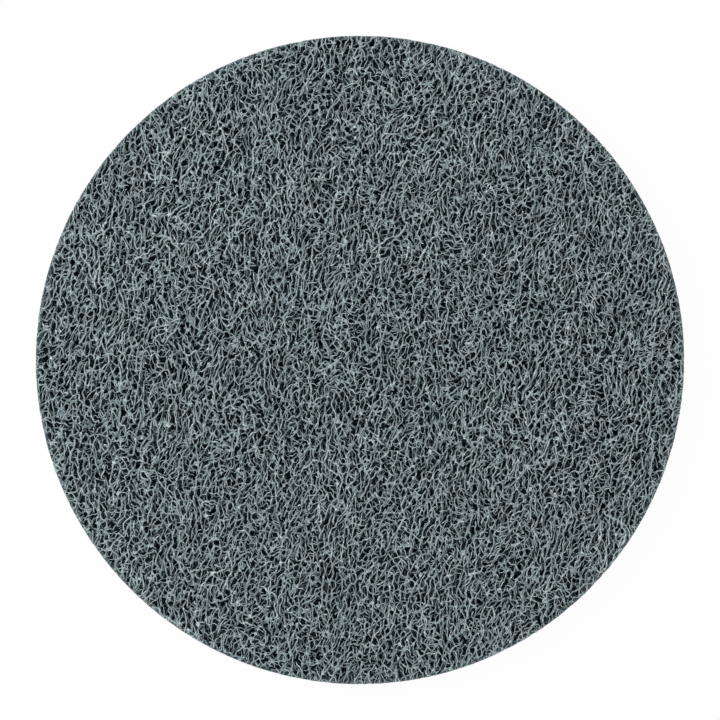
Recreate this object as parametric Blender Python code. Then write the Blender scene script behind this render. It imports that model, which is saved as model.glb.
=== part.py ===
"""Non-woven abrasive disc: a round die-cut from an open web of fibres bonded with resin and grit.

The disc is one piece. Its front, back and cut rim are each an irregular net of strands round open
voids, and the three nets share their border points, so that the whole is one closed body.
Metres, +Z up, the origin at the middle of the back face, which lies on Z = 0.
"""

import math
import random

import bmesh
import bpy
from mathutils import Vector

# Driving sizes of the disc
DISC_DIAMETER = 0.125
DISC_THICKNESS = 0.008
CORNER_CUT = 0.0005        # the die leaves both corners of the rim slightly broken
OUTLINE_SIDES = 120        # straight runs that make up the round outline

# The web: strands laid mostly along one direction, which draws the voids out that way
LAY_ANGLE = math.radians(73)
LAY_STRETCH = 1.5          # length of a void along the lay over its width across it
FACE_VOID_SPACING = 0.0050
FACE_VOID_DEPTH = 0.0031
RIM_STRETCH = 1.35         # the web is laid flat, so the rim's voids are longer round than high
RIM_VOID_SPACING = 0.0036
RIM_VOID_DEPTH = 0.0016
STRAND_WIDTH = 0.0010
BORDER_LAND = 0.0008       # the die presses the web shut along both corners of the rim
BRIDGE_DROP = 0.0009       # a finer strand bridges many of the voids, sagging this far below them
BRIDGED_SHARE = 0.75
BRIDGE_ROOM = 0.0011       # a bridge leaves at least this width of void on both its sides
NODE_DROP = 0.0007         # strands dip and rise: a node lies up to this far below its face
LEVEL_SHARE = 0.60         # share of the nodes that lie level with the face, which it rests on
DEPTH_SPREAD = 0.35        # the shallowest voids are this share less deep than the deepest
STEEPEST = 2.4             # a narrow void is at most this many times as deep as its reach
APEX_WANDER = 0.22         # how far a void's bottom strays from its middle, as a share of its reach
SMALLEST_VOID = 0.30       # a cell whose void would be under this share of it is filled with resin
SHORTEST_STRAND = 0.00025  # nodes of the net closer than this run together
BORDER_ROOM = 0.33         # no void's middle is nearer to a border than this share of the spacing
TRIES_PER_VOID = 60        # throws at random for each void that the net has room for
RIM_OVERLAP = 12           # sides of the outline by which the unrolled rim runs on past its ends
WEB_SEED = 3

# Look of the fibre and its resin
WEB_COLOUR = (0.105, 0.131, 0.137, 1.0)
WEB_ROUGHNESS = 0.62

WELD = 1e-6                # nets meet at the same border points, to this distance
SMOOTH_ANGLE = math.radians(22)

RIM_RADIUS = DISC_DIAMETER / 2
FACE_RADIUS = RIM_RADIUS - CORNER_CUT
RIM_LENGTH = 2 * math.pi * RIM_RADIUS
RIM_HEIGHT = DISC_THICKNESS - 2 * CORNER_CUT
SIDE_ANGLE = 2 * math.pi / OUTLINE_SIDES


def clear_scene():
    for thing in list(bpy.data.objects):
        bpy.data.objects.remove(thing)


def scattered(low, high, spacing, inside, rng):
    """Points at random in a box, kept where inside() holds and none is nearer than the spacing."""
    box = high - low
    tries = int(TRIES_PER_VOID * box.x * box.y / spacing**2)
    points = []
    for _ in range(tries):
        point = low + Vector((rng.random() * box.x, rng.random() * box.y))
        if inside(point) and all((point - other).length > spacing for other in points):
            points.append(point)
    return points


def clipped(polygon, point, away):
    """The part of a convex polygon that lies behind the line through point, square to away."""
    heights = [(corner - point).dot(away) for corner in polygon]
    kept = []
    for here, corner in enumerate(polygon):
        there = (here + 1) % len(polygon)
        if heights[here] <= 0:
            kept.append(corner)
        if (heights[here] < 0) != (heights[there] < 0) and 0 not in (heights[here], heights[there]):
            share = heights[here] / (heights[here] - heights[there])
            kept.append(corner.lerp(polygon[there], share))
    return kept


def cell_round(site, others, outline):
    """The part of the outline that is nearer to the site than to any other: a convex polygon."""
    cell = outline
    for other in sorted(others, key=lambda point: (point - site).length):
        gap = other - site
        if gap.length == 0:
            continue
        if gap.length / 2 > max((corner - site).length for corner in cell):
            break
        cell = clipped(cell, (site + other) / 2, gap)
    return cell


def without_repeats(polygon):
    """The polygon with corners that fall on their neighbour left out."""
    return [
        corner
        for place, corner in enumerate(polygon)
        if (corner - polygon[place - 1]).length > WELD
    ]


def outline_point(number, radius):
    """Corner of the round outline, by its number; a number and a half is the middle of a side."""
    return Vector((math.cos(number * SIDE_ANGLE), math.sin(number * SIDE_ANGLE))) * radius


def on_face_border(point):
    """A point on one of the outline's sides goes to the nearest corner; any other stays."""
    turn = (math.atan2(point.y, point.x) % (2 * math.pi)) / SIDE_ANGLE
    square_to_side = outline_point(int(turn) + 0.5, 1)
    if point.dot(square_to_side) < FACE_RADIUS * math.cos(SIDE_ANGLE / 2) - WELD:
        return point
    return outline_point(round(turn), FACE_RADIUS)


def face_net(rng):
    """Cells of a flat face: nearest-site cells, worked out in a plane squeezed along the lay."""
    along = Vector((math.cos(LAY_ANGLE), math.sin(LAY_ANGLE)))
    across = Vector((-along.y, along.x))

    def squeezed(point):
        return Vector((point.dot(along) / LAY_STRETCH, point.dot(across)))

    def spread(point):
        return along * (point.x * LAY_STRETCH) + across * point.y

    border = FACE_RADIUS - FACE_VOID_SPACING * BORDER_ROOM
    corner = Vector((FACE_RADIUS / LAY_STRETCH, FACE_RADIUS))
    sites = scattered(-corner, corner, FACE_VOID_SPACING, lambda p: spread(p).length < border, rng)
    outline = [squeezed(outline_point(number, FACE_RADIUS)) for number in range(OUTLINE_SIDES)]
    cells = [cell_round(site, sites, outline) for site in sites]
    return [without_repeats([on_face_border(spread(p)) for p in cell]) for cell in cells]


def rim_net(rng):
    """Cells of the unrolled rim, as (length round, height); its two ends carry on into each other."""
    side = RIM_LENGTH / OUTLINE_SIDES
    length = RIM_LENGTH / RIM_STRETCH
    room = RIM_VOID_SPACING * BORDER_ROOM
    low, high = Vector((room, room)), Vector((length - room, RIM_HEIGHT - room))
    own = scattered(low, high, RIM_VOID_SPACING, lambda p: True, rng)
    repeats = [point + Vector((turn * length, 0)) for turn in (-1, 0, 1) for point in own]
    numbers = range(-RIM_OVERLAP, OUTLINE_SIDES + RIM_OVERLAP + 1)
    low_border = [Vector((number * side / RIM_STRETCH, 0)) for number in numbers]
    high_border = [Vector((point.x, RIM_HEIGHT)) for point in reversed(low_border)]

    def on_rim_border(point):
        if WELD < point.y < RIM_HEIGHT - WELD:
            return point
        return Vector((round(point.x / side) * side, 0 if point.y < WELD else RIM_HEIGHT))

    cells = [cell_round(site, repeats, low_border + high_border) for site in own]
    unrolled = [[on_rim_border(Vector((p.x * RIM_STRETCH, p.y))) for p in cell] for cell in cells]
    return [without_repeats(cell) for cell in unrolled]


def add_net(bm, polygons, place):
    """A face for each polygon, with place() putting its corners in the disc. Returns the faces."""
    return [bm.faces.new([bm.verts.new(place(corner)) for corner in polygon]) for polygon in polygons]


def add_corner_cut(bm, face_height, rim_height, outward_turn):
    """The ring of sloping sides between a flat face's border and the rim's border."""
    for number in range(OUTLINE_SIDES):
        ends = [(number, FACE_RADIUS, face_height), (number, RIM_RADIUS, rim_height),
                (number + 1, RIM_RADIUS, rim_height), (number + 1, FACE_RADIUS, face_height)]
        corners = [(*outline_point(which, radius), height) for which, radius, height in ends]
        bm.faces.new([bm.verts.new(corner) for corner in corners[::outward_turn]])


def inner_nodes(bm, faces):
    """The corners of a face's cells that lie off the land along its border, in a fixed order."""
    bm.verts.index_update()
    nodes = {vert for face in faces for vert in face.verts}
    inner = [vert for vert in nodes if vert.co.xy.length < FACE_RADIUS - BORDER_LAND]
    return sorted(inner, key=lambda vert: vert.index)


def join_nodes(bm, faces):
    """Runs together the nodes that lie closer than the shortest strand. Returns the cells left."""
    bmesh.ops.remove_doubles(bm, verts=inner_nodes(bm, faces), dist=SHORTEST_STRAND)
    return [face for face in faces if face.is_valid]


def drop_nodes(bm, faces, rng):
    """Lets some nodes of a face sink below it, so that the strands between them dip."""
    for vert in inner_nodes(bm, faces):
        drop = NODE_DROP * rng.random() if rng.random() > LEVEL_SHARE else 0
        vert.co.z += drop if vert.co.z < DISC_THICKNESS / 2 else -drop


def from_line(point, start, end):
    """Distance of a point from the line through two others."""
    along = (end - start).normalized()
    offset = point - start
    return (offset - along * offset.dot(along)).length


def reach_of(face, middle):
    """Shortest distance from a cell's middle to one of its sides."""
    return min(from_line(middle, *[vert.co for vert in edge.verts]) for edge in face.edges)


def seen_from(face, middle):
    """Whether every side of a cell is in plain sight of its middle, so that a void can open there."""
    spokes = [vert.co - middle for vert in face.verts]
    return all(
        spoke.cross(spokes[place - len(spokes) + 1]).dot(face.normal) > 0
        for place, spoke in enumerate(spokes)
    )


def bridge_ends(face, rng):
    """Two opposite corners of a void whose line leaves room on both sides, or None."""
    corners = list(face.verts)
    half = len(corners) // 2
    for first in rng.sample(range(len(corners)), len(corners)):
        turned = corners[first:] + corners[:first]
        start, end = turned[0], turned[half]
        sides = (turned[1:half], turned[half + 1:])
        widths = [max(from_line(c.co, start.co, end.co) for c in side) for side in sides]
        if min(widths) > BRIDGE_ROOM:
            return start, end
    return None


def sink_void(bm, face, normal, depth, rng):
    """Pulls a cell's middle down to a point that strays a little to one side."""
    middle = face.calc_center_median_weighted()
    reach = reach_of(face, middle)
    wander = Vector([rng.uniform(-reach, reach) for _ in range(3)]) * APEX_WANDER
    wander -= normal * wander.dot(normal)
    sink = min(depth * (1 - DEPTH_SPREAD * rng.random()), reach * STEEPEST)
    apex = bmesh.ops.poke(bm, faces=[face])["verts"][0]
    apex.co = middle + wander - normal * sink


def off_face_border(point):
    """A point of a face, moved in off the land along the face's border and between the faces."""
    across = point.xy.length
    share = min(1, (FACE_RADIUS - BORDER_LAND) / across) if across > 0 else 1
    return Vector((point.x * share, point.y * share, min(max(point.z, 0), DISC_THICKNESS)))


def off_rim_border(point):
    """A point of the rim, moved in where it lies on the land along either border of the rim."""
    lowest = CORNER_CUT + BORDER_LAND
    return Vector((point.x, point.y, min(max(point.z, lowest), DISC_THICKNESS - lowest)))


def open_voids(bm, faces, depth, off_border, rng):
    """Turns each cell into half-strands round a void, which a lower strand may bridge."""
    kept = {}
    for face in faces:
        middle = face.calc_center_median_weighted()
        share = 1 - STRAND_WIDTH / 2 / reach_of(face, middle)
        inside = off_border(middle) == middle
        if inside and share > SMALLEST_VOID and seen_from(face, middle):
            kept[face] = (middle, face.normal.copy(), share)
    bmesh.ops.inset_individual(bm, faces=list(kept), thickness=0.0)
    for face, (middle, normal, share) in kept.items():
        for corner in face.verts:
            spoke = middle - corner.co
            level = spoke - normal * spoke.dot(normal)
            corner.co = off_border(corner.co + level * (1 - share))
        parts = [face]
        ends = bridge_ends(face, rng) if rng.random() < BRIDGED_SHARE else None
        if ends:
            sag = (ends[0].co + ends[1].co) / 2 - normal * BRIDGE_DROP
            parts.append(bmesh.utils.face_split(face, *ends, coords=[sag])[0])
        for part in parts:
            sink_void(bm, part, normal, depth, rng)


def web_material():
    material = bpy.data.materials.new("web")
    material.use_nodes = True
    shader = material.node_tree.nodes["Principled BSDF"]
    shader.inputs["Base Color"].default_value = WEB_COLOUR
    shader.inputs["Roughness"].default_value = WEB_ROUGHNESS
    shader.inputs["Metallic"].default_value = 0.0
    material.diffuse_color = WEB_COLOUR
    return material


def web_disc():
    rng = random.Random(WEB_SEED)
    bm = bmesh.new()
    front = add_net(bm, face_net(rng), lambda p: (p.x, p.y, DISC_THICKNESS))
    back = add_net(bm, [cell[::-1] for cell in face_net(rng)], lambda p: (p.x, p.y, 0))

    def round_the_rim(point):
        turn = point.x / RIM_RADIUS
        return (RIM_RADIUS * math.cos(turn), RIM_RADIUS * math.sin(turn), CORNER_CUT + point.y)

    rim = add_net(bm, rim_net(rng), round_the_rim)
    add_corner_cut(bm, DISC_THICKNESS, DISC_THICKNESS - CORNER_CUT, 1)
    add_corner_cut(bm, 0, CORNER_CUT, -1)
    bmesh.ops.remove_doubles(bm, verts=bm.verts, dist=WELD)
    faces = join_nodes(bm, front + back)
    bmesh.ops.recalc_face_normals(bm, faces=bm.faces)
    drop_nodes(bm, faces, rng)
    bm.normal_update()

    open_voids(bm, faces, FACE_VOID_DEPTH, off_face_border, rng)
    open_voids(bm, rim, RIM_VOID_DEPTH, off_rim_border, rng)

    mesh = bpy.data.meshes.new("web_disc")
    bm.to_mesh(mesh)
    bm.free()
    mesh.materials.append(web_material())
    mesh.shade_smooth()
    mesh.set_sharp_from_angle(angle=SMOOTH_ANGLE)
    disc = bpy.data.objects.new("web_disc", mesh)
    bpy.context.scene.collection.objects.link(disc)
    return disc


clear_scene()
web_disc()
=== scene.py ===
"""Non-woven abrasive disc: the open web of crimped fibres, bonded with resin where they meet.

The file is laid out as a Blender add-on and is run as a script. Metres, +Z up, and the disc lies on
Z = 0 with its working face up.
"""

import bpy
import numpy as np
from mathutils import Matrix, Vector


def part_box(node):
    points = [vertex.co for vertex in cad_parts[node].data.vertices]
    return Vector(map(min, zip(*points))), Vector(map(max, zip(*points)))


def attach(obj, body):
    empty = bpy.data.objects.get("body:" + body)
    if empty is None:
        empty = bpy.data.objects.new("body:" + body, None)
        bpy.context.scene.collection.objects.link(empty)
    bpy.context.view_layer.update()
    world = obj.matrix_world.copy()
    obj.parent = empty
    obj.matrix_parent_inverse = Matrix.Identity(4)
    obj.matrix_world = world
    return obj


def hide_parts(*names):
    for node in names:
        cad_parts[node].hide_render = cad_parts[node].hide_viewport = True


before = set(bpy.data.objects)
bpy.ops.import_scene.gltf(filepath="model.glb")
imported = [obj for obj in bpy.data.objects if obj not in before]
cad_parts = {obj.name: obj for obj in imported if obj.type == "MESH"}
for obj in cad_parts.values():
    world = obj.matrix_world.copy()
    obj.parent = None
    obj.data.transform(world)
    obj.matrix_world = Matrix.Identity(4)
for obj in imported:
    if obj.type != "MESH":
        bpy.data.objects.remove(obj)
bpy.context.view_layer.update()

bl_info = {
    "name": "Non-woven disc",
    "version": (1, 0, 0),
    "blender": (4, 5, 0),
    "location": "3D View > Sidebar > Web disc",
    "description": "Builds a round of bonded fibre web, with its stage",
    "category": "Add Mesh",
}

MM = 0.001
CAD_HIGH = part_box("web_disc")[1]
CAD_RADIUS = float(CAD_HIGH[0])
CAD_THICKNESS = float(CAD_HIGH[2])

# How a fibre runs: waves of its heading in radians, its height in millimetres, its width as a
# share and its tone, as (wave length, swing), and the share of a layer's thickness that fibres'
# own levels take up. Each fibre has its own share of each swing and of each wave length, between
# the two that are given
FIBRE_LENGTH = 9 * MM
FIBRE_REACH = FIBRE_LENGTH / 2
HEADING_WAVES = ((14 * MM, 0.80), (4.2 * MM, 0.50), (1.8 * MM, 0.50))
HEIGHT_WAVES = ((5.6 * MM, 0.62), (2.6 * MM, 0.26))
LEVEL_SHARE = 0.5
WIDTH_WAVES = ((3.4 * MM, 0.26), (1.5 * MM, 0.22))
TONE_WAVES = ((2.0 * MM, 0.20), (1.1 * MM, 0.22))
SWING_SHARES = (0.35, 1.0)
LENGTH_SHARES = (0.8, 1.2)

# Fibres' own widths, as shares of the usual one: their spread, the thinnest and the thickest.
# Tones, from 0 dark to 1 light: their middle, their spread, the darkest and the lightest
FIBRE_WIDTHS = (0.30, 0.5, 2.0)
FIBRE_TONES = (0.5, 0.11, 0.04, 0.96)
BOND_TONES = (0.46, 0.24, 0.02, 0.98)
FILM_TONES = (0.22, 0.14, -0.2, 0.98)

# Cross-section of a strand: corners of a triangle, the first of them outermost, and how much
# lighter or darker each corner is than the strand: a painted highlight on the outermost corner and
# painted shade on the other two, as on a ridge lit from outside
RING_TURNS = np.radians((90.0, 210.0, 330.0))
RING = len(RING_TURNS)
RING_PAINTED_LIGHT = np.array((0.24, -0.16, -0.16))

# Layers of the web: the pieces of each from the outside in, the lowest and highest of its fibres,
# its length of strand per area, the step along a fibre, its strands' share of the usual width,
# and the most bonds and films of resin that it may have
FRONT_OUTER = ("front_web_crown", "front_web_surface")
FRONT_LAYERS = (
    (FRONT_OUTER, 6.90 * MM, 7.88 * MM, 2350.0, 0.50 * MM, 1.0, 16500, 3600),
    (("front_web_middle",), 6.0 * MM, 6.9 * MM, 1050.0, 0.70 * MM, 1.1, 2000, 0),
    (("front_web_deep",), 5.0 * MM, 6.0 * MM, 600.0, 0.85 * MM, 1.25, 0, 0),
)
BACK_LAYERS = (
    (("back_web_surface",), 0.12 * MM, 0.85 * MM, 1300.0, 0.75 * MM, 1.25, 3500, 700),
    (("back_web_deep",), 0.85 * MM, 1.8 * MM, 720.0, 0.90 * MM, 1.4, 0, 0),
)

# Strands of the web's middle that show at the rim: their piece, lowest, highest, strand per area,
# step and share of the usual width, and how deep behind the rim they are kept
RIM_LAYER = ("rim_web", 0.4 * MM, 6.6 * MM, 3400.0, 0.85 * MM, 1.3)
RIM_WEB_DEPTH = 2.6 * MM

# Net that lies along the cut rim, given in the same way, with how deep behind the rim the middles
# of its strands lie, and how much more painted shade their colour takes, as extra depth. All other
# strands are cut a little behind the rim, so that this net alone makes the outline. Painted shade
# deepens a few times faster behind the rim than under a face, so that the rim has no pale hem from
# above
RIM_NET = ("rim_net", 0.2 * MM, 7.25 * MM, 3400.0, 0.75 * MM, 1.15)
RIM_NET_DEPTHS = (0.06 * MM, 0.65 * MM)
RIM_NET_EXTRA_SHADE = 1.8 * MM
RIM_SHADE_RATE = 4.0
CUT_BACK = 0.05 * MM

# How strands spread out until they lie evenly: the cells that they are counted in, with a few more
# outside, the blur of each round, the share of the blur that the slope pushes by, the most that
# a point moves in a round as a share of the blur, and the least density as a share of the mean
EVEN_CELL = 0.25 * MM
EVEN_BORDER = 4
EVEN_BLURS = np.array((2.6, 2.0, 1.5, 1.2, 1.2, 0.9, 0.9, 0.9, 0.7, 0.7, 0.6)) * MM
EVEN_PUSH = 0.45
EVEN_MOST = 0.25
EVEN_LEAST = 0.1

# Resin where two strands meet: the most steps of strand that a cell of the search takes in, the
# furthest that two strands lie apart in height, and the patches that bonds are dealt out by.
# Arms reach along the strands, each by its own share, and half a web's thickness is a share of
# the strand's width. A film's notches are a share of its arms, and it hangs below its strands
CELL_SLOTS = 18
BOND_GAP = 0.72 * MM
BOND_PATCH = 1.2 * MM
ARM_SHARES = (0.75, 1.25)
BOND_REACHES = (0.25, 0.50)
BOND_HALF = 0.42
FILM_REACHES = (0.50, 0.95)
FILM_NOTCHES = (0.20, 0.44)
FILM_HALF = 0.2
FILM_DROP = 0.09 * MM

# Map of each piece's own, on which its colours may be kept: columns of strips, and the edge that is
# left free round each strip or circle, as a share of it
MAP_NAME = "OFBake"
MAP_COLUMNS = 8
MAP_EDGE = 0.04

# Grit and mottle: scales of the two noises in patches and grains per metre, where a patch becomes
# a painted glint, how much lighter the painted glints are, and the grit's height
PATCH_SCALE = 2300.0
GRAIN_SCALE = 7000.0
GLINT_EDGES = (0.66, 0.74)
GLINT_LIGHTNESS = 0.8
GRIT_HEIGHT = 0.06 * MM

# Depths in millimetres over which painted shade takes a strand's colour to the dark deep one,
# darker the deeper it lies, tones over which it pales to the light one, and how dark and how light
# the lowest and highest tones make it. The tones carry the painted highlight of each strand's
# outermost corner and the painted shade of the other two, as well as the fibre's own tone
SHADE_DEPTHS = (0.2, 2.9)
PALE_TONES = (0.3, 1.0)
TONE_SHADES = (0.62, 1.24)

# Near-black middle, a dark sheet of painted shade that stands in for the shaded depths of the web:
# rings and spokes of its mesh, how far its edge lies behind the rim, the height and half thickness
# of its lens, the wall left at its edge, the share of the radius that its edge is rounded over, how
# far its skirt hangs down, and the shares of the radius that it starts at and takes to sink. Then
# the waves of its unevenness, as a swing and radians per metre both ways
CORE_RINGS, CORE_SPOKES = 26, 120
CORE_BEHIND_RIM = 0.5 * MM
CORE_MIDDLE = 3.75 * MM
CORE_HALF = 1.0 * MM
CORE_WALL = 0.02 * MM
CORE_ROUNDED = 0.02
SKIRT_DROP = 1.7 * MM
SKIRT_START, SKIRT_WIDTH = 0.93, 0.05
CORE_SWELL = (0.25 * MM, 900, 830)
CORE_RIPPLE = (0.15 * MM, 1900, 1700)
CORE_PHASES = (1.0, 2.0, 0.5)

# Dark strands painted on the near-black middle, standing in for deep strands in shade: cells per
# metre, their width over their length, and the distances from a cell's edge over which the strand
# fades out
CORE_CELLS = 900.0
CORE_CELL_SHAPE = 0.7
CORE_STRAND_EDGES = (0.05, 0.16)
CORE_STRAND_HEIGHT = 0.2 * MM

# Stage: half the floor's width, and each lamp's name, place, size and setting
FLOOR_HALF = 3.0
LAMPS = (
    ("key_lamp", (-0.50, 0.16, 0.75), 0.45, "key_power"),
    ("fill_lamp", (0.60, -0.18, 0.60), 0.8, "fill_power"),
)


# Surfaces worked out with arrays

def waves(rng, rows, along, spec):
    """Sum of sine waves along each row's length. Each row has its own phase for each wave, its own
    share of the swing and its own share of the wave length."""
    total = np.zeros((rows, len(along)))
    for length, swing in spec:
        phase = rng.uniform(0, 2 * np.pi, (rows, 1))
        share = rng.uniform(*SWING_SHARES, (rows, 1))
        turns = along[None, :] / (length * rng.uniform(*LENGTH_SHARES, (rows, 1)))
        total += swing * share * np.sin(2 * np.pi * turns + phase)
    return total


def tones(rng, spread, shape):
    """Random tones on a bell curve about their middle, kept between the lowest and highest."""
    middle, width, lowest, highest = spread
    return np.clip(middle + width * rng.standard_normal(shape), lowest, highest)


def fibre_paths(rng, sizes, low, high, per_area, step):
    """Centre lines of crimped fibres, as an array of fibres by points by 3.

    A fibre's heading is a random angle plus waves for its drift, crimp and kinks. Its points are
    the running sum of steps in that heading, from a random middle. They are drawn out along the
    lay and narrowed across it, by the root of the stretch each. Its height is a random level plus
    waves, kept between low and high."""
    reach = sizes.radius + FIBRE_REACH
    points = round(FIBRE_LENGTH / step)
    fibres = round(per_area * (2 * reach) ** 2 / (points * step))
    along = np.arange(points) * step
    heading = rng.uniform(0, 2 * np.pi, (fibres, 1)) + waves(rng, fibres, along, HEADING_WAVES)
    plan = np.stack([np.cos(heading), np.sin(heading)], -1).cumsum(1) * step
    plan -= plan.mean(1, keepdims=True)
    lay = np.array([np.cos(sizes.lay_angle), np.sin(sizes.lay_angle)])
    cross = np.array([-lay[1], lay[0]])
    drawn = np.sqrt(sizes.lay_stretch)
    plan = (plan @ lay)[..., None] * lay * drawn + (plan @ cross)[..., None] * cross / drawn
    side = int(np.sqrt(fibres)) + 1
    square = rng.permutation(side * side)[:fibres]
    middle = np.stack([square % side, square // side], -1) + rng.random((fibres, 2))
    plan += (middle / side * 2 - 1)[:, None] * reach
    half = (high - low) / 2
    level = rng.uniform(-1, 1, (fibres, 1)) * half * LEVEL_SHARE
    height = level + waves(rng, fibres, along, HEIGHT_WAVES) * MM
    height = (low + high) / 2 + half * np.tanh(height / half)
    return np.concatenate([plan, height[..., None]], -1)


def spread_evenly(paths, reach):
    """Fibres move sideways, a little at a time, from where strand lies thick to where it is thin.

    Points are counted in square cells and blurred with a bell curve, which gives the density. Each
    point goes down the slope of the density's logarithm, by a share of the blur squared, and
    a fibre's moves are averaged with its neighbours' along it so that it stays smooth."""
    cells = int(2 * reach / EVEN_CELL) + 2 * EVEN_BORDER
    wave = np.fft.fftfreq(cells, EVEN_CELL)
    square = wave[:, None] ** 2 + wave[None, :] ** 2
    for blur in EVEN_BLURS:
        bell = np.exp(-2 * (np.pi * blur) ** 2 * square)
        place = (paths[..., :2] + reach) / EVEN_CELL + EVEN_BORDER
        cell = np.clip(place.astype(int), 0, cells - 1)
        flat = cell[..., 0] * cells + cell[..., 1]
        count = np.bincount(flat.ravel(), minlength=cells * cells).reshape(cells, cells)
        density = np.fft.ifft2(np.fft.fft2(count) * bell).real
        filled = np.maximum(density, density.mean() * EVEN_LEAST)
        slope = np.gradient(np.log(filled), EVEN_CELL)
        move = -np.stack([part.ravel()[flat] for part in slope], -1) * EVEN_PUSH * blur ** 2
        move[:, 1:-1] = (move[:, :-2] + 2 * move[:, 1:-1] + move[:, 2:]) / 4
        paths[..., :2] += np.clip(move, -EVEN_MOST * blur, EVEN_MOST * blur)
    return paths


def die_cut(paths, radius):
    """Cuts fibres off at the cylinder of this radius. A point just outside goes to where its
    strand crosses the cylinder, found as the root of a quadratic. Returns the points, and which
    steps between them are left."""
    out = np.hypot(paths[..., 0], paths[..., 1]) > radius
    moved = paths.copy()
    first, last = (slice(None), slice(None, -1)), (slice(None), slice(1, None))
    for inner, outer in ((last, first), (first, last)):
        start, step = paths[inner], paths[outer] - paths[inner]
        a = (step[..., :2] ** 2).sum(-1)
        b = (start[..., :2] * step[..., :2]).sum(-1)
        c = (start[..., :2] ** 2).sum(-1) - radius ** 2
        share = (-b + np.sqrt(np.maximum(b * b - a * c, 0))) / np.maximum(a, 1e-18)
        met = start + np.clip(share, 0, 1)[..., None] * step
        here = ~out[inner] & out[outer]
        moved[outer] = np.where(here[..., None], met, moved[outer])
    return moved, ~(out[:, 1:] & out[:, :-1])


def strand_crossings(start, end, reach, rng, most):
    """Where strands cross as seen from above, and lie close enough in height to be bonded.

    Steps are sorted into square cells by their middles, and each is set against those in its own
    cell and in four of the eight round it. Two steps cross where the shares of both, from the
    cross products of their directions, lie between 0 and 1. Returns the two step numbers and the
    two shares, for at most so many crossings: first one at random from each square patch of the
    disc, then a second from each, and so on, so that they lie evenly."""
    size = np.hypot(*(end - start)[:, :2].T).max()
    wide = int(2 * reach / size) + 4
    column, row = (((start + end) / 2)[:, :2] / size + wide / 2).astype(int).T
    cell = row * wide + column
    order = np.argsort(cell, kind="stable")
    rank = np.arange(len(cell)) - np.searchsorted(cell[order], cell[order])
    table = np.full((wide * wide, CELL_SLOTS), -1)
    room = rank < CELL_SLOTS
    table[cell[order][room], rank[room]] = order[room]
    found = []
    for shift in (0, 1, wide, wide + 1, wide - 1):
        here, there = table[: len(table) - shift], table[shift:]
        pair = (here[:, :, None] >= 0) & (there[:, None, :] >= 0)
        if shift == 0:
            pair &= here[:, :, None] < there[:, None, :]
        which, i, j = np.nonzero(pair)
        one, two = here[which, i], there[which, j]
        p, r = start[one], (end - start)[one]
        q, s = start[two], (end - start)[two]
        turn = r[:, 0] * s[:, 1] - r[:, 1] * s[:, 0]
        turn = np.where(np.abs(turn) < 1e-12, 1e-12, turn)
        gap = q - p
        t = (gap[:, 0] * s[:, 1] - gap[:, 1] * s[:, 0]) / turn
        u = (gap[:, 0] * r[:, 1] - gap[:, 1] * r[:, 0]) / turn
        apart = np.abs(p[:, 2] + t * r[:, 2] - q[:, 2] - u * s[:, 2])
        cross = (t > 0) & (t < 1) & (u > 0) & (u < 1) & (apart < BOND_GAP)
        cross &= np.abs(one - two) > 1
        found.append(np.stack([one[cross], two[cross], t[cross], u[cross]]))
    found = np.concatenate(found, 1)
    found = found[:, rng.permutation(found.shape[1])]
    met = start[found[0].astype(int), :2]
    patch = (met // BOND_PATCH).astype(int) @ np.array([int(4 * reach / BOND_PATCH), 1])
    order = np.argsort(patch, kind="stable")
    turn = np.arange(len(patch)) - np.searchsorted(patch[order], patch[order])
    chosen = order[np.argsort(turn + rng.random(len(turn)))][:most]
    one, two, t, u = found[:, chosen]
    return one.astype(int), two.astype(int), t[:, None], u[:, None]


def depth_below(points, sizes):
    """Depth of each point in the web, which sets how much painted shade its colour takes: its
    distance from the nearest face, or a few times its distance from the cut rim where that is less."""
    across = np.hypot(points[..., 0], points[..., 1])
    nearest = np.minimum(points[..., 2], sizes.thickness - points[..., 2])
    return np.maximum(np.minimum(nearest, RIM_SHADE_RATE * (sizes.radius - across)), 0)


def inside_disc(points, sizes):
    """Points that stand out past the rim or a face are drawn back to it."""
    across = np.hypot(points[..., 0], points[..., 1])
    points[..., :2] *= np.minimum(1, sizes.radius / np.maximum(across, 1e-9))[..., None]
    points[..., 2] = np.clip(points[..., 2], 0, sizes.thickness)
    return points


def add_mesh(name, points, faces, attributes, material, places=(), smooth=True):
    """A mesh object at the origin from points, faces of one or more corner counts, and a number
    at each point for each named attribute. Places, if given, put each corner of each face on a
    map of the piece's own."""
    mesh = bpy.data.meshes.new(name)
    mesh.vertices.add(len(points))
    mesh.vertices.foreach_set("co", points.astype(np.float32).ravel())
    corners = np.concatenate([part.ravel() for part in faces])
    sides = np.concatenate([np.full(len(part), part.shape[1]) for part in faces])
    mesh.loops.add(len(corners))
    mesh.loops.foreach_set("vertex_index", corners.astype(np.int32))
    mesh.polygons.add(len(sides))
    starts = np.concatenate([[0], np.cumsum(sides)[:-1]])
    mesh.polygons.foreach_set("loop_start", starts.astype(np.int32))
    mesh.polygons.foreach_set("loop_total", sides.astype(np.int32))
    mesh.update(calc_edges=True)
    for label, values in attributes.items():
        layer = mesh.attributes.new(label, "FLOAT", "POINT")
        layer.data.foreach_set("value", values.astype(np.float32).ravel())
    if len(places):
        spots = np.concatenate([part.ravel() for part in places])
        mesh.uv_layers.new(name=MAP_NAME).uv.foreach_set("vector", spots.astype(np.float32))
    if smooth:
        mesh.shade_smooth()
    else:
        mesh.shade_flat()
    mesh.materials.append(material)
    piece = bpy.data.objects.new(name, mesh)
    bpy.context.scene.collection.objects.link(piece)
    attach(piece, "root")
    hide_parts("web_disc")
    return piece


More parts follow.
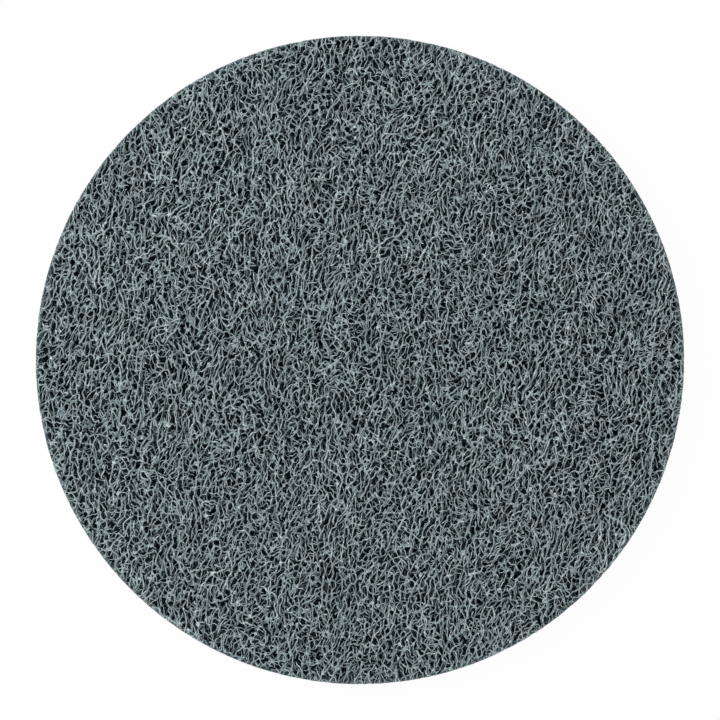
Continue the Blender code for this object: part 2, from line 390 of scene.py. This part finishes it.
def strip_places(kept, opens, closes):
    """Where the corners of strands' faces lie on their map: each strand is a strip, with its steps
    from left to right and its three sides one above the other. The strips fill a few columns from
    the bottom up. A cut end lies over the end of its own strip."""
    steps = kept.shape[1]
    strip_of = np.cumsum(kept.any(1)) - 1
    rows = strip_of[-1] // MAP_COLUMNS + 1

    def spot(fibre, step, side):
        strip = strip_of[fibre]
        right = (strip % MAP_COLUMNS + MAP_EDGE + (1 - 2 * MAP_EDGE) * step / steps) / MAP_COLUMNS
        up = (strip // MAP_COLUMNS + MAP_EDGE + (1 - 2 * MAP_EDGE) * side / RING) / rows
        return np.stack([right, up], -1)

    fibre, step = np.nonzero(kept)
    quads = np.concatenate([
        np.stack([spot(fibre, step, side), spot(fibre, step, side + 1),
                  spot(fibre, step + 1, side + 1), spot(fibre, step + 1, side)], 1)
        for side in range(RING)
    ])
    fibre, step = np.nonzero(opens)
    starts = np.stack([
        spot(fibre, step + lean, side) for side, lean in ((2, 0), (1, 0.5), (0, 0))
    ], 1)
    fibre, step = np.nonzero(closes)
    ends = np.stack([
        spot(fibre, step + lean, side) for side, lean in ((0, 1), (1, 0.5), (2, 1))
    ], 1)
    return quads, starts, ends


def strands(rng, paths, kept, sizes, width, outward, name, material, sunk=0.0):
    """Closed three-sided tubes along the fibres.

    The side direction is square to the outward direction and to the strand. A ring's corners are
    the centre plus the strand's radius times the cosine of the corner's turn along that side, and
    its sine along the direction square to both the strand and the side. The radius is half the
    width times a share of each fibre's own and a wave along it. Cut ends are closed by a triangle
    each. The outermost corner gets a painted highlight and the other two painted shade, as on a
    ridge that catches the light."""
    fibres, points = paths.shape[:2]
    along = np.linspace(0, FIBRE_LENGTH, points)
    spread, thinnest, thickest = FIBRE_WIDTHS
    own = width * rng.lognormal(0, spread, (fibres, 1)).clip(thinnest, thickest)
    radius = sizes.strand_width / np.sqrt(3) * own * (1 + waves(rng, fibres, along, WIDTH_WAVES))
    tangent = np.gradient(paths, axis=1)
    tangent /= np.linalg.norm(tangent, axis=-1, keepdims=True) + 1e-12
    side = np.cross(outward, tangent)
    side /= np.linalg.norm(side, axis=-1, keepdims=True) + 1e-12
    up = np.cross(tangent, side)
    across, out = np.cos(RING_TURNS)[:, None], np.sin(RING_TURNS)[:, None]
    ring = side[:, :, None] * across + up[:, :, None] * out
    corners = inside_disc(paths[:, :, None] + ring * radius[..., None, None], sizes)
    tone = tones(rng, FIBRE_TONES, (fibres, 1)) + waves(rng, fibres, along, TONE_WAVES)
    # Painted shade: the depth in the web, plus any extra given for the rim net, darkens the
    # strand's colour
    deep = depth_below(paths, sizes) + sunk

    worn = np.zeros((fibres, points), bool)
    worn[:, 1:] |= kept
    worn[:, :-1] |= kept
    number = np.cumsum(worn.ravel()).reshape(worn.shape) - 1
    first, last = number[:, :-1][kept], number[:, 1:][kept]
    around = np.arange(RING)
    near, far = first * RING, last * RING
    quads = [
        np.stack([near + here, near + there, far + there, far + here], 1)
        for here, there in zip(around, np.roll(around, -1))
    ]
    gap = np.zeros((fibres, 1), bool)
    opens = kept & ~np.concatenate([gap, kept[:, :-1]], 1)
    closes = kept & ~np.concatenate([kept[:, 1:], gap], 1)
    starts = number[:, :-1][opens][:, None] * RING + around[::-1]
    ends = number[:, 1:][closes][:, None] * RING + around
    attributes = {
        # Painted light in the tones: a highlight on the outermost corner, shade on the other two
        "tone": tone[worn][:, None] + RING_PAINTED_LIGHT,
        "deep": np.repeat(deep[worn] / MM, RING),
    }
    return add_mesh(name, corners[worn].reshape(-1, 3), [np.concatenate(quads), starts, ends],
                    attributes, material, strip_places(kept, opens, closes))


def bond_arms(rng, start, end, bonds, reach):
    """The middle of each bond, and the four points that its arms reach to along both strands, in
    order round it. An arm is the reach times a random share."""
    one, two, t, u = bonds
    first, second = (end - start)[one], (end - start)[two]
    middle = (start[one] + first * t + start[two] + second * u) / 2
    first /= np.linalg.norm(first, axis=1, keepdims=True)
    second /= np.linalg.norm(second, axis=1, keepdims=True)
    arms = np.stack([first, second, -first, -second], 1)
    flip = (first[:, 0] * second[:, 1] - first[:, 1] * second[:, 0]) < 0
    arms[flip] = arms[flip][:, ::-1]
    length = reach[:, None] * rng.uniform(*ARM_SHARES, (len(one), 4))
    return middle, arms * length[..., None]


def closed_webs(rim, middle, thick, tone, sizes, name, material):
    """Closed webs of resin: each rim of points is joined to a point above its middle and one below,
    half the web's thickness away. On its map, each side of a web is a circle in a square cell."""
    count, around = rim.shape[:2]
    above, below = middle.copy(), middle.copy()
    above[:, 2] += thick
    below[:, 2] -= thick
    points = inside_disc(np.concatenate([rim, above[:, None], below[:, None]], 1), sizes)
    step = np.arange(around)
    after = (step + 1) % around
    top = np.stack([step, after, np.full(around, around)], 1)
    low = np.stack([after, step, np.full(around, around + 1)], 1)
    own = np.arange(count)[:, None, None] * (around + 2)
    faces = (own + np.concatenate([top, low])[None]).reshape(-1, 3)
    turn = 2 * np.pi * step / around
    circle = np.stack([np.cos(turn), np.sin(turn)], -1) * (0.5 - MAP_EDGE)
    centre = np.zeros((around, 2))
    sides = np.stack([np.stack([circle, circle[after], centre], 1),
                      np.stack([circle[after], circle, centre], 1)])
    cells = np.arange(2 * count).reshape(count, 2)
    wide = int(np.ceil(np.sqrt(2 * count)))
    middles = np.stack([cells % wide, cells // wide], -1) + 0.5
    places = (middles[:, :, None, None] + sides[None]) / wide
    attributes = {
        "tone": np.repeat(tone, around + 2),
        # Depth in the web sets the resin's painted shade
        "deep": depth_below(points, sizes) / MM,
    }
    return add_mesh(name, points.reshape(-1, 3), [faces], attributes, material, [places],
                    smooth=False)


def resin_bonds(rng, start, end, bonds, sizes, name, material):
    """Resin that fills the corners where two strands cross: a diamond whose four corners lie on the
    strands, with a point above and one below."""
    count = len(bonds[0])
    middle, arms = bond_arms(rng, start, end, bonds, rng.uniform(*BOND_REACHES, count) * MM)
    tone = tones(rng, BOND_TONES, count)
    thick = sizes.strand_width * BOND_HALF
    return closed_webs(middle[:, None] + arms, middle, thick, tone, sizes, name, material)


def resin_films(rng, start, end, bonds, sizes, outward, name, material):
    """Thin films of resin across a corner of the net: a star of four long arms. Its notches lie
    along the middle of two neighbouring arms, at a share of their length. A film hangs a little
    below its strands, so that they stand out on it."""
    count = len(bonds[0])
    middle, arms = bond_arms(rng, start, end, bonds, rng.uniform(*FILM_REACHES, count) * MM)
    middle[:, 2] -= outward * FILM_DROP
    between = (arms + np.roll(arms, -1, axis=1)) * rng.uniform(*FILM_NOTCHES, (count, 4, 1))
    rim = middle[:, None] + np.stack([arms, between], 2).reshape(count, 8, 3)
    tone = tones(rng, FILM_TONES, count)
    thick = sizes.strand_width * FILM_HALF
    return closed_webs(rim, middle, thick, tone, sizes, name, material)


def steps_of(paths, kept):
    """Both ends of every step that is left, as two lists of points."""
    return paths[:, :-1][kept], paths[:, 1:][kept]


def rim_net_paths(rng, sizes, low, high, per_area, step):
    """Centre lines of the fibres that lie along the cut rim, as fibres by points by 3, and the
    outward direction at each point.

    They run on the unrolled rim in the same way as on a face. Their heights are folded back and
    forth between low and high, as a triangle wave, and their distance round is wrapped to a turn
    about the axis. Their depths behind the rim are a random level plus waves, kept in bounds."""
    points = round(FIBRE_LENGTH / step)
    round_the_rim = 2 * np.pi * sizes.radius
    fibres = round(per_area * round_the_rim * (high - low) / (points * step))
    along = np.arange(points) * step
    heading = rng.uniform(0, 2 * np.pi, (fibres, 1)) + waves(rng, fibres, along, HEADING_WAVES)
    distance = np.cos(heading).cumsum(1) * step + rng.uniform(0, round_the_rim, (fibres, 1))
    height = np.sin(heading).cumsum(1) * step + rng.uniform(low, high, (fibres, 1))
    tall = high - low
    height = low + np.abs((height - low + tall) % (2 * tall) - tall)
    nearest, deepest = RIM_NET_DEPTHS
    half = (deepest - nearest) / 2
    level = rng.uniform(-1, 1, (fibres, 1)) * half + waves(rng, fibres, along, HEIGHT_WAVES) * MM
    away = sizes.radius - (nearest + half + half * np.tanh(level / half))
    turn = distance / sizes.radius
    outward = np.stack([np.cos(turn), np.sin(turn), np.zeros(turn.shape)], -1)
    return outward * away[..., None] + height[..., None] * np.array([0, 0, 1]), outward


def build_layers(context, layers, outward, seed, side):
    """The strands of a face's layers, and the resin where they meet."""
    sizes = context.scene.web_sizes
    rng = np.random.default_rng(seed)
    fibre, resin = bonded_fibre(context), resin_film(context)
    for depth, (names, low, high, per_area, step, width, bonds, films) in enumerate(layers):
        paths = fibre_paths(rng, sizes, low, high, per_area * sizes.density, step)
        paths = spread_evenly(paths, sizes.radius + FIBRE_REACH)
        paths, kept = die_cut(paths, sizes.radius - CUT_BACK)
        start, end = steps_of(paths, kept)
        if bonds + films:
            met = strand_crossings(start, end, sizes.radius, rng, bonds + films)
            some, rest = [part[:films] for part in met], [part[films:] for part in met]
            if films:
                name = f"{side}_films_{depth}"
                resin_films(rng, start, end, some, sizes, outward, name, resin)
            resin_bonds(rng, start, end, rest, sizes, f"{side}_bonds_{depth}", resin)
        order = np.argsort(-outward * paths[..., 2].mean(1))
        away = np.array([0, 0, outward])
        for name, rows in zip(names, np.array_split(order, len(names))):
            strands(rng, paths[rows], kept[rows], sizes, width, away, name, fibre)


# Materials

def add_node(tree, kind, **values):
    """A node with its inputs set by name."""
    node = tree.nodes.new(kind)
    for label, value in values.items():
        node.inputs[label.replace("_", " ")].default_value = value
    return node


def feed(tree, socket, source):
    """Links a socket to the one that it reads, or gives it a plain value."""
    if isinstance(source, bpy.types.NodeSocket):
        tree.links.new(source, socket)
    else:
        socket.default_value = source


def add_math(tree, operation, *terms):
    """The output of a Math node whose terms are sockets or plain numbers."""
    node = tree.nodes.new("ShaderNodeMath")
    node.operation = operation
    for socket, term in zip(node.inputs, terms):
        feed(tree, socket, term)
    return node.outputs[0]


def add_mix(tree, factor, first, second):
    """The output of a Mix node from one colour to another, each a socket or a plain colour."""
    node = tree.nodes.new("ShaderNodeMix")
    node.data_type = "RGBA"
    feed(tree, node.inputs["A"], first)
    feed(tree, node.inputs["B"], second)
    feed(tree, node.inputs["Factor"], factor)
    return node.outputs["Result"]


def add_scaled(tree, colour, share):
    """A colour times a share."""
    node = tree.nodes.new("ShaderNodeVectorMath")
    node.operation = "SCALE"
    feed(tree, node.inputs["Vector"], colour)
    feed(tree, node.inputs["Scale"], share)
    return node.outputs["Vector"]


def add_range(tree, source, span=(0.0, 1.0), onto=(0.0, 1.0), soft=False):
    """The output of a Map Range node that maps a span onto another, with soft ends if asked."""
    node = add_node(tree, "ShaderNodeMapRange", From_Min=span[0], From_Max=span[1],
                    To_Min=onto[0], To_Max=onto[1])
    if soft:
        node.interpolation_type = "SMOOTHSTEP"
    feed(tree, node.inputs["Value"], source)
    return node.outputs["Result"]


def add_bump(tree, shader, height, strength, distance):
    """Raises the shader's surface by a height."""
    node = add_node(tree, "ShaderNodeBump", Strength=strength, Distance=distance)
    feed(tree, node.inputs["Height"], height)
    tree.links.new(node.outputs["Normal"], shader.inputs["Normal"])


def grit_group():
    """Node group: fine mineral grit and mottled resin, with painted glints, as a shade, a roughness
    and a height.
    """
    if "grit_and_mottle" in bpy.data.node_groups:
        return bpy.data.node_groups["grit_and_mottle"]
    tree = bpy.data.node_groups.new("grit_and_mottle", "ShaderNodeTree")
    sockets = tree.interface
    sockets.new_socket("Vector", in_out="INPUT", socket_type="NodeSocketVector")
    for label, value in (("Mottle", 0.2), ("Grit", 0.5), ("Specks", 0.0), ("Roughness", 0.5)):
        made_socket = sockets.new_socket(label, in_out="INPUT", socket_type="NodeSocketFloat")
        made_socket.default_value = value
    for label in ("Shade", "Roughness", "Height"):
        sockets.new_socket(label, in_out="OUTPUT", socket_type="NodeSocketFloat")
    given = tree.nodes.new("NodeGroupInput").outputs
    result = tree.nodes.new("NodeGroupOutput").inputs
    patches, grains = (
        add_node(tree, "ShaderNodeTexNoise", Scale=scale, Detail=2.0, Roughness=0.6)
        for scale in (PATCH_SCALE, GRAIN_SCALE)
    )
    for noise in (patches, grains):
        feed(tree, noise.inputs["Vector"], given["Vector"])
    patch, grain = patches.outputs["Fac"], grains.outputs["Fac"]

    def spread(source, amount, middle):
        """middle plus the amount times (source - 0.5)."""
        centred = add_math(tree, "SUBTRACT", source, 0.5)
        return add_math(tree, "MULTIPLY_ADD", centred, amount, middle)

    mottled = spread(patch, given["Mottle"], 1.0)
    grained = spread(grain, given["Grit"], mottled)
    # Painted glints: noise patches past these edges lighten the colour, standing in for highlights
    # on grit
    glint_mask = add_range(tree, patch, GLINT_EDGES)
    feed(tree, result["Shade"], add_math(tree, "MULTIPLY_ADD", glint_mask, given["Specks"], grained))
    feed(tree, result["Roughness"], spread(grain, given["Grit"], given["Roughness"]))
    feed(tree, result["Height"], grain)
    return tree


def add_grit(tree, mottle, grit, roughness, painted_glint=0.0):
    """The outputs of the grit group, on Object coordinates, with a material's own values."""
    place = tree.nodes.new("ShaderNodeTexCoord")
    group = tree.nodes.new("ShaderNodeGroup")
    group.node_tree = grit_group()
    for label, value in (("Vector", place.outputs["Object"]), ("Mottle", mottle), ("Grit", grit),
                         ("Specks", painted_glint), ("Roughness", roughness)):
        feed(tree, group.inputs[label], value)
    return group.outputs


def new_material(name, roughness, specular):
    """A plain material that isn't metal, with its node tree and its shader."""
    material = bpy.data.materials.new(name)
    material.use_nodes = True
    shader = material.node_tree.nodes["Principled BSDF"]
    shader.inputs["Metallic"].default_value = 0.0
    shader.inputs["Roughness"].default_value = roughness
    shader.inputs["Specular IOR Level"].default_value = specular
    return material, material.node_tree, shader


def web_finish(name, colour, light_colour, deep_colour, roughness, mottle, grit, bump):
    """Colour by tone and by depth in the web, times the tone, mottle, grit and painted glints, with
    a
    grit bump. Depth paints shade: the deeper a strand lies, the darker. Tone carries a painted
    highlight on each strand's ridge and painted shade on its sides.
    """
    if name in bpy.data.materials:
        return bpy.data.materials[name]
    material, tree, shader = new_material(name, roughness, specular=0.5)
    surface = add_grit(tree, mottle, grit, roughness, GLINT_LIGHTNESS)
    deep, tone = (tree.nodes.new("ShaderNodeAttribute") for _ in range(2))
    deep.attribute_name, tone.attribute_name = "deep", "tone"
    # Painted shade: the deeper in the web, the nearer the colour is to the dark deep one
    depth_shade = add_range(tree, deep.outputs["Fac"], SHADE_DEPTHS, soft=True)
    paling = add_range(tree, tone.outputs["Fac"], PALE_TONES)
    near = add_mix(tree, paling, colour, light_colour)
    colours = add_mix(tree, depth_shade, near, deep_colour)
    # Tone lightens or darkens the colour; with the corners' tones this is the painted highlight and
    # shade on each strand
    lighter = add_range(tree, tone.outputs["Fac"], onto=TONE_SHADES)
    shade = add_math(tree, "MULTIPLY", lighter, surface["Shade"])
    feed(tree, shader.inputs["Base Color"], add_scaled(tree, colours, shade))
    feed(tree, shader.inputs["Roughness"], surface["Roughness"])
    add_bump(tree, shader, surface["Height"], bump, GRIT_HEIGHT)
    return material


def bonded_fibre(context):
    """Crimped fibre in its coat of resin and fine grit."""
    colours = context.scene.web_colours
    return web_finish("bonded_fibre", (*colours.fibre, 1), (*colours.light_fibre, 1),
                      (*colours.shaded_deep_fibre, 1), colours.roughness, mottle=2.4, grit=0.5, bump=0.8)


def resin_film(context):
    """Resin drawn out between strands, a little smoother and darker than the fibre."""
    colours = context.scene.web_colours
    return web_finish("resin_film", (*colours.resin, 1), (*colours.light_fibre, 1),
                      (*colours.shaded_deep_fibre, 1), colours.roughness * 0.85,
                      mottle=3.0, grit=0.6, bump=0.9)


def dark_core(context):
    """Painted shade for the web's depths, seen in the voids: nearly black, with a net of faint dark
    strands that stand in for deep strands in shade.
    """
    colours = context.scene.web_colours
    name = "dark_core"
    if name in bpy.data.materials:
        return bpy.data.materials[name]
    material, tree, shader = new_material(name, roughness=0.9, specular=0.1)
    surface = add_grit(tree, mottle=0.4, grit=0.4, roughness=0.9)
    place = tree.nodes.new("ShaderNodeTexCoord")
    laid = add_node(tree, "ShaderNodeMapping", Scale=(CORE_CELL_SHAPE, 1.0, 1.0),
                    Rotation=(0, 0, -context.scene.web_sizes.lay_angle))
    feed(tree, laid.inputs["Vector"], place.outputs["Object"])
    cells = add_node(tree, "ShaderNodeTexVoronoi", Scale=CORE_CELLS)
    cells.feature = "DISTANCE_TO_EDGE"
    feed(tree, cells.inputs["Vector"], laid.outputs["Vector"])
    strand = add_range(tree, cells.outputs["Distance"], CORE_STRAND_EDGES, (1.0, 0.0), soft=True)
    # Painted shade: near-black, with faint dark strands, for the web's shaded depths
    colour = add_mix(tree, strand, (*colours.void, 1), (*colours.shaded_core_strand, 1))
    feed(tree, shader.inputs["Base Color"], add_scaled(tree, colour, surface["Shade"]))
    add_bump(tree, shader, strand, strength=0.8, distance=CORE_STRAND_HEIGHT)
    return material


def plain_look(tree):
    """A socket that is 1 for rays from the camera, a gloss or glass, and 0 for all others."""
    looks = tree.nodes.new("ShaderNodeLightPath").outputs
    found = looks["Is Camera Ray"]
    for kind in ("Is Glossy Ray", "Is Transmission Ray"):
        found = add_math(tree, "MAXIMUM", found, looks[kind])
    return found


def floor_finish(context):
    """Pale floor: white where the camera, a gloss or glass looks at it, and matt under the lamps,
    so that it keeps a share of the disc's shadow."""
    stage = context.scene.web_stage
    material, tree, shader = new_material("pale_floor", roughness=0.9, specular=0.0)
    shader.inputs["Base Color"].default_value = (*stage.floor_colour, 1)
    glow = add_node(tree, "ShaderNodeEmission", Strength=1.0)
    mixed = tree.nodes.new("ShaderNodeMixShader")
    share = add_math(tree, "MULTIPLY", plain_look(tree), stage.floor_glow)
    for socket, source in zip(mixed.inputs, (share, shader.outputs[0], glow.outputs[0])):
        feed(tree, socket, source)
    feed(tree, tree.nodes["Material Output"].inputs["Surface"], mixed.outputs[0])
    return material


# What a user would change

class WebSizes(bpy.types.PropertyGroup):
    """Sizes of the web."""

    radius: bpy.props.FloatProperty(
        name="Radius", description="From the disc's axis to its cut rim",
        default=CAD_RADIUS, min=0.02, max=0.2, unit="LENGTH", precision=4)
    thickness: bpy.props.FloatProperty(
        name="Thickness", description="From the back face to the working face",
        default=CAD_THICKNESS, min=0.004, max=0.03, unit="LENGTH", precision=4)
    strand_width: bpy.props.FloatProperty(
        name="Strand width", description="Across a fibre in its coat of resin",
        default=0.000246, min=0.0001, max=0.001, unit="LENGTH", precision=5)
    lay_angle: bpy.props.FloatProperty(
        name="Lay", description="Direction that most fibres run in, from +X",
        default=1.37, min=-3.15, max=3.15, subtype="ANGLE")
    lay_stretch: bpy.props.FloatProperty(
        name="Lay stretch", description="Length of a void along the lay over its width",
        default=1.5, min=1.0, max=4.0)
    density: bpy.props.FloatProperty(
        name="Density", description="Share of the usual length of strand in the web",
        default=1.0, min=0.1, max=1.5)
    seed: bpy.props.IntProperty(
        name="Seed", description="Number from which all of the web's chances follow",
        default=7, min=0)


class WebColours(bpy.types.PropertyGroup):
    """Colours and sheen of the web."""

    fibre: bpy.props.FloatVectorProperty(
        name="Fibre", description="Strands near the faces and the rim",
        subtype="COLOR", size=3, min=0, max=1, default=(0.303, 0.402, 0.426))
    # Pale tone of strands, and the colour of the painted highlight on every strand's ridge
    light_fibre: bpy.props.FloatVectorProperty(
        name="Light fibre", description="The palest strands, and the ridges of all",
        subtype="COLOR", size=3, min=0, max=1, default=(0.416, 0.475, 0.480))
    # Painted shade: strands are drawn towards this dark colour the deeper they lie in the web
    shaded_deep_fibre: bpy.props.FloatVectorProperty(
        name="Deep fibre", description="Strands far inside the web",
        subtype="COLOR", size=3, min=0, max=1, default=(0.064, 0.108, 0.124))
    resin: bpy.props.FloatVectorProperty(
        name="Resin", description="Resin drawn out between strands",
        subtype="COLOR", size=3, min=0, max=1, default=(0.284, 0.382, 0.410))
    # Painted shade: this near-black stands in for the shaded depths of the web
    void: bpy.props.FloatVectorProperty(
        name="Void", description="The dense middle of the web, seen in the voids",
        subtype="COLOR", size=3, min=0, max=1, default=(0.0014, 0.0042, 0.0056))
    # Painted shade: dark strands standing in for deep strands in shade
    shaded_core_strand: bpy.props.FloatVectorProperty(
        name="Core strand", description="Strands that show on the dense middle",
        subtype="COLOR", size=3, min=0, max=1, default=(0.029, 0.053, 0.063))
    roughness: bpy.props.FloatProperty(
        name="Roughness", description="Roughness of the coated fibre",
        default=0.5, min=0.0, max=1.0)


class WebStage(bpy.types.PropertyGroup):
    """Floor, lamps and camera."""

    floor_colour: bpy.props.FloatVectorProperty(
        name="Floor", description="Colour of the floor under the lamps",
        subtype="COLOR", size=3, min=0, max=1, default=(0.85, 0.85, 0.85))
    floor_glow: bpy.props.FloatProperty(
        name="Floor glow", description="Share of plain white that the camera sees in the floor",
        default=0.97, min=0.0, max=1.0, subtype="FACTOR")
    key_power: bpy.props.FloatProperty(
        name="Key lamp", description="Power of the large lamp above and to the left",
        default=6.25, min=0.0, max=50.0, unit="POWER")
    fill_power: bpy.props.FloatProperty(
        name="Fill lamp", description="Power of the softer lamp on the other side",
        default=1.0, min=0.0, max=50.0, unit="POWER")
    world_light: bpy.props.FloatProperty(
        name="Room light", description="Strength of the even light from all round",
        default=0.32, min=0.0, max=5.0)
    lens: bpy.props.FloatProperty(
        name="Lens", description="Focal length of the camera",
        default=800.0, min=20.0, max=1000.0)
    fill_of_frame: bpy.props.FloatProperty(
        name="Fill of frame", description="Width of the disc as a share of the picture's",
        default=0.901, min=0.2, max=1.0, subtype="FACTOR")


# Operators, one for each group of pieces and one for the stage

class WEB_OT_front(bpy.types.Operator):
    """Strands of the working face in three layers, with the resin where they meet"""

    bl_idname = "web_disc.front"
    bl_label = "Working face"

    def execute(self, context):
        seed = context.scene.web_sizes.seed
        build_layers(context, FRONT_LAYERS, 1, seed, "front")
        return {"FINISHED"}


class WEB_OT_back(bpy.types.Operator):
    """Strands of the back face in two layers, with the resin where they meet"""

    bl_idname = "web_disc.back"
    bl_label = "Back face"

    def execute(self, context):
        seed = context.scene.web_sizes.seed + 1
        build_layers(context, BACK_LAYERS, -1, seed, "back")
        return {"FINISHED"}


class WEB_OT_rim(bpy.types.Operator):
    """Strands of the web's middle that show at the cut rim, and the net that lies along it"""

    bl_idname = "web_disc.rim"
    bl_label = "Cut rim"

    def execute(self, context):
        sizes = context.scene.web_sizes
        rng = np.random.default_rng(sizes.seed + 2)
        name, low, high, per_area, step, width = RIM_LAYER
        paths = fibre_paths(rng, sizes, low, high, per_area * sizes.density, step)
        paths, kept = die_cut(paths, sizes.radius - CUT_BACK)
        middle = (paths[:, 1:] + paths[:, :-1]) / 2
        across = np.hypot(middle[..., 0], middle[..., 1])
        kept &= across > sizes.radius - RIM_WEB_DEPTH
        fibre, up = bonded_fibre(context), np.array([0, 0, 1])
        strands(rng, paths, kept, sizes, width, up, name, fibre)

        name, low, high, per_area, step, width = RIM_NET
        paths, away = rim_net_paths(rng, sizes, low, high, per_area * sizes.density, step)
        whole = np.ones((paths.shape[0], paths.shape[1] - 1), bool)
        # The rim net's extra depth gives its strands more painted shade
        strands(rng, paths, whole, sizes, width, away, name, fibre, RIM_NET_EXTRA_SHADE)
        return {"FINISHED"}


class WEB_OT_core(bpy.types.Operator):
    """The near-black middle that closes the view through the web, a dark sheet of painted shade
    that stands in for the shaded depths of the web.

    A closed lens: its half thickness is full out to most of the radius, and falls to a thin wall at
    its edge as a quarter circle does, the root of b times (2 - b), where b is the way from the edge
    as a share of the rounded part. A sum of products of sines makes it uneven. A skirt near the rim
    reaches down towards the back face, so that no light floor shows through the rim."""

    bl_idname = "web_disc.core"
    bl_label = "Dense middle"

    def execute(self, context):
        sizes = context.scene.web_sizes
        rings, spokes = CORE_RINGS, CORE_SPOKES
        edge = sizes.radius - CORE_BEHIND_RIM
        share = np.sin(np.linspace(0, np.pi / 2, rings + 1))[1:]
        turn = np.arange(spokes) * 2 * np.pi / spokes
        x = edge * share[:, None] * np.cos(turn)
        y = edge * share[:, None] * np.sin(turn)
        bulge = np.clip((1 - share) / CORE_ROUNDED, 0, 1)
        half = CORE_HALF * np.sqrt(bulge * (2 - bulge))[:, None] + CORE_WALL
        sunk = np.clip((share - SKIRT_START) / SKIRT_WIDTH, 0, 1)[:, None]
        skirt = SKIRT_DROP * sunk * half / half.max()
        one, two, three = CORE_PHASES
        swing, across, along = CORE_SWELL
        rough = swing * np.sin(across * x + one) * np.sin(along * y + two)
        swing, across, along = CORE_RIPPLE
        rough += swing * np.sin(across * (x + y)) * np.sin(along * (x - y) + three)
        middle = CORE_MIDDLE
        top = middle + half + rough * bulge[:, None]
        low = middle - half - skirt + rough[:, ::-1] * bulge[:, None]
        grid = np.arange(rings * spokes).reshape(rings, spokes)
        after = np.roll(grid, -1, axis=1)
        size = rings * spokes
        upper = np.stack([grid[:-1], grid[1:], after[1:], after[:-1]], -1).reshape(-1, 4)
        lower = upper[:, ::-1] + size
        wall = np.stack([grid[-1], grid[-1] + size, after[-1] + size, after[-1]], -1)
        points = np.concatenate([
            np.stack([x, y, top], -1).reshape(-1, 3),
            np.stack([x, y, low], -1).reshape(-1, 3),
            [[0, 0, middle + half[0, 0]], [0, 0, middle - half[0, 0]]],
        ])
        cap = np.stack([grid[0], after[0], np.full(spokes, 2 * size)], -1)
        base = np.stack([after[0] + size, grid[0] + size, np.full(spokes, 2 * size + 1)], -1)
        faces = [np.concatenate([upper, lower, wall]), np.concatenate([cap, base])]
        attributes = {"tone": np.full(len(points), 0.5), "deep": depth_below(points, sizes) / MM}
        # A near-black sheet of painted shade for the web's depths
        add_mesh("web_core", points, faces, attributes, dark_core(context))
        return {"FINISHED"}


class WEB_OT_stage(bpy.types.Operator):
    """Pale floor, soft lamps, room light and the camera straight above the disc"""

    bl_idname = "web_disc.stage"
    bl_label = "Stage"

    def execute(self, context):
        stage = context.scene.web_stage
        sizes = context.scene.web_sizes
        mesh = bpy.data.meshes.new("floor")
        far = FLOOR_HALF
        corners = [(-far, -far, 0), (far, -far, 0), (far, far, 0), (-far, far, 0)]
        mesh.from_pydata(corners, [], [(0, 1, 2, 3)])
        mesh.materials.append(floor_finish(context))
        floor = bpy.data.objects.new("floor", mesh)
        context.scene.collection.objects.link(floor)

        for name, place, size, power in LAMPS:
            lamp = bpy.data.lights.new(name, "AREA")
            lamp.shape = "DISK"
            lamp.size = size
            lamp.energy = getattr(stage, power)
            stand = bpy.data.objects.new(name, lamp)
            aim = -np.array(place)
            stand.location = place
            stand.rotation_euler = (
                float(np.arctan2(np.hypot(aim[0], aim[1]), -aim[2])), 0,
                float(np.arctan2(aim[0], -aim[1]) + np.pi))
            context.scene.collection.objects.link(stand)

        world = bpy.data.worlds.new("room")
        world.use_nodes = True
        context.scene.world = world
        tree = world.node_tree
        light = tree.nodes["Background"]
        light.inputs["Color"].default_value = (1, 1, 1, 1)
        strength = add_range(tree, plain_look(tree), onto=(stage.world_light, 1.0))
        feed(tree, light.inputs["Strength"], strength)

        camera = bpy.data.cameras.new("camera")
        camera.lens = stage.lens
        eye = bpy.data.objects.new("camera", camera)
        half_view = sizes.radius / stage.fill_of_frame
        away = half_view * stage.lens / (camera.sensor_width / 2)
        eye.location = (0, 0, sizes.thickness + away)
        context.scene.collection.objects.link(eye)
        context.scene.camera = eye
        context.scene.view_settings.view_transform = "Standard"
        return {"FINISHED"}


class WEB_PT_panel(bpy.types.Panel):
    """Everything that builds the disc"""

    bl_idname = "WEB_PT_panel"
    bl_label = "Non-woven disc"
    bl_space_type = "VIEW_3D"
    bl_region_type = "UI"
    bl_category = "Web disc"

    def draw(self, context):
        for group in ("web_sizes", "web_colours", "web_stage"):
            settings = getattr(context.scene, group)
            box = self.layout.box()
            for label in type(settings).__annotations__:
                box.prop(settings, label)
        for step in STEPS:
            self.layout.operator(step.bl_idname)


STEPS = (WEB_OT_core, WEB_OT_front, WEB_OT_back, WEB_OT_rim, WEB_OT_stage)
CLASSES = (WebSizes, WebColours, WebStage, *STEPS, WEB_PT_panel)
GROUPS = {"web_sizes": WebSizes, "web_colours": WebColours, "web_stage": WebStage}


def register():
    for kind in CLASSES:
        bpy.utils.register_class(kind)
    for label, kind in GROUPS.items():
        setattr(bpy.types.Scene, label, bpy.props.PointerProperty(type=kind))


def unregister():
    for label in GROUPS:
        delattr(bpy.types.Scene, label)
    for kind in reversed(CLASSES):
        bpy.utils.unregister_class(kind)


def main():
    """Registers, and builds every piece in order."""
    register()
    bpy.ops.web_disc.core()
    bpy.ops.web_disc.front()
    bpy.ops.web_disc.back()
    bpy.ops.web_disc.rim()
    bpy.ops.web_disc.stage()


if __name__ == "__main__":
    main()
